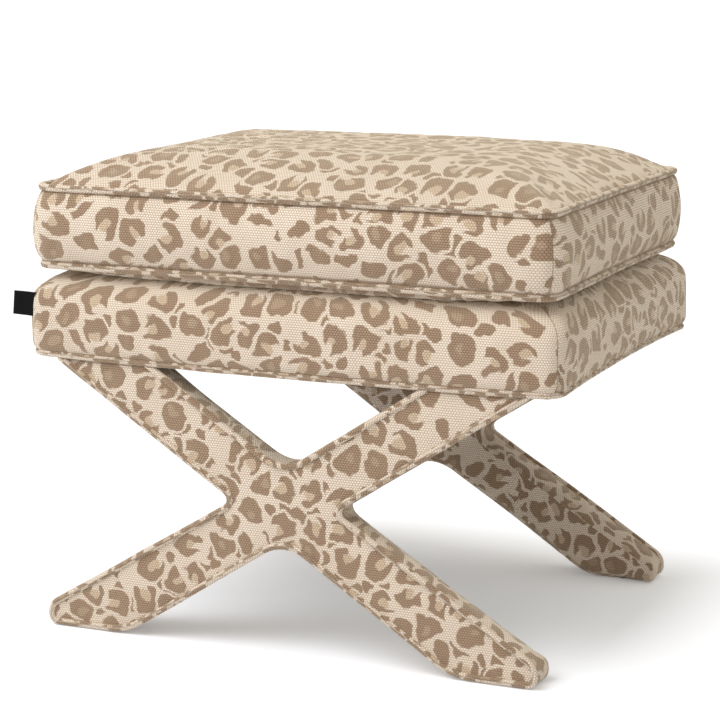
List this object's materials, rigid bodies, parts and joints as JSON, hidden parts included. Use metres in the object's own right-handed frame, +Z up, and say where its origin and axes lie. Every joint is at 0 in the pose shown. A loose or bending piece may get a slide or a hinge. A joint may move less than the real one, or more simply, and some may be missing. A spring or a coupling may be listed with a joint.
{
  "type": "ottoman",
  "caption": "Upholstered ottoman with a loose boxed cushion on a padded seat base, carried by padded X-shaped leg frames, all in a spotted woven fabric with piped edges.",
  "frame": {"origin": "on the floor, under the middle of the seat", "axes": "+X across the width to the right seen from the front, +Y from the front to the back, +Z up"},
  "size_m": [0.6, 0.4565, 0.5223],
  "materials": {
    "leopard_fabric": "matte",
    "foam": "matte",
    "fibre_filling": "matte",
    "frame_wood": "matte",
    "webbing": "matte",
    "dust_cloth": "matte",
    "zinc_steel": "satin",
    "glide_plastic": "matte",
    "zip_tape": "matte",
    "zip_coil": "satin",
    "zip_metal": "satin"
  },
  "bodies": {
    "base": {"front_rail": "frame_wood", "back_rail": "frame_wood", "left_rail": "frame_wood", "right_rail": "frame_wood", "rail_dowels": "frame_wood", "corner_blocks": "frame_wood", "long_webbing": "webbing", "cross_webbing": "webbing", "base_padding": "foam", "base_cover": "leopard_fabric", "base_welt": "leopard_fabric", "dust_cover": "dust_cloth", "foot_glides": "glide_plastic", "leg_bolts": "zinc_steel", "leg_washers": "zinc_steel", "leg_nuts": "zinc_steel", "front_rising_leg": "frame_wood", "front_falling_leg": "frame_wood", "front_leg_padding": "foam", "front_leg_edge_band": "leopard_fabric", "front_leg_outer_panel": "leopard_fabric", "front_leg_inner_panel": "leopard_fabric", "front_leg_outer_welt": "leopard_fabric", "back_rising_leg": "frame_wood", "back_falling_leg": "frame_wood", "back_leg_padding": "foam", "back_leg_edge_band": "leopard_fabric", "back_leg_outer_panel": "leopard_fabric", "back_leg_inner_panel": "leopard_fabric", "back_leg_outer_welt": "leopard_fabric"},
    "cushion": {"cushion_foam": "foam", "cushion_top_filling": "fibre_filling", "cushion_bottom_filling": "fibre_filling", "cushion_top_panel": "leopard_fabric", "cushion_bottom_panel": "leopard_fabric", "cushion_front_boxing": "leopard_fabric", "cushion_right_boxing": "leopard_fabric", "cushion_left_boxing": "leopard_fabric", "cushion_back_upper_boxing": "leopard_fabric", "cushion_back_lower_boxing": "leopard_fabric", "cushion_top_welt": "leopard_fabric", "cushion_bottom_welt": "leopard_fabric", "zip_tape": "zip_tape", "zip_chain": "zip_coil"},
    "zip_slider": {"zip_slider": "zip_metal"}
  },
  "joints": [
    {"name": "cushion_lift", "type": "slide", "parent": "base", "child": "cushion", "axis": [0, 0, 1], "range_m": [0, 0.2]},
    {"name": "zip_slide", "type": "slide", "parent": "cushion", "child": "zip_slider", "axis": [1, 0, 0], "range_m": [0, 0.43]}
  ]
}
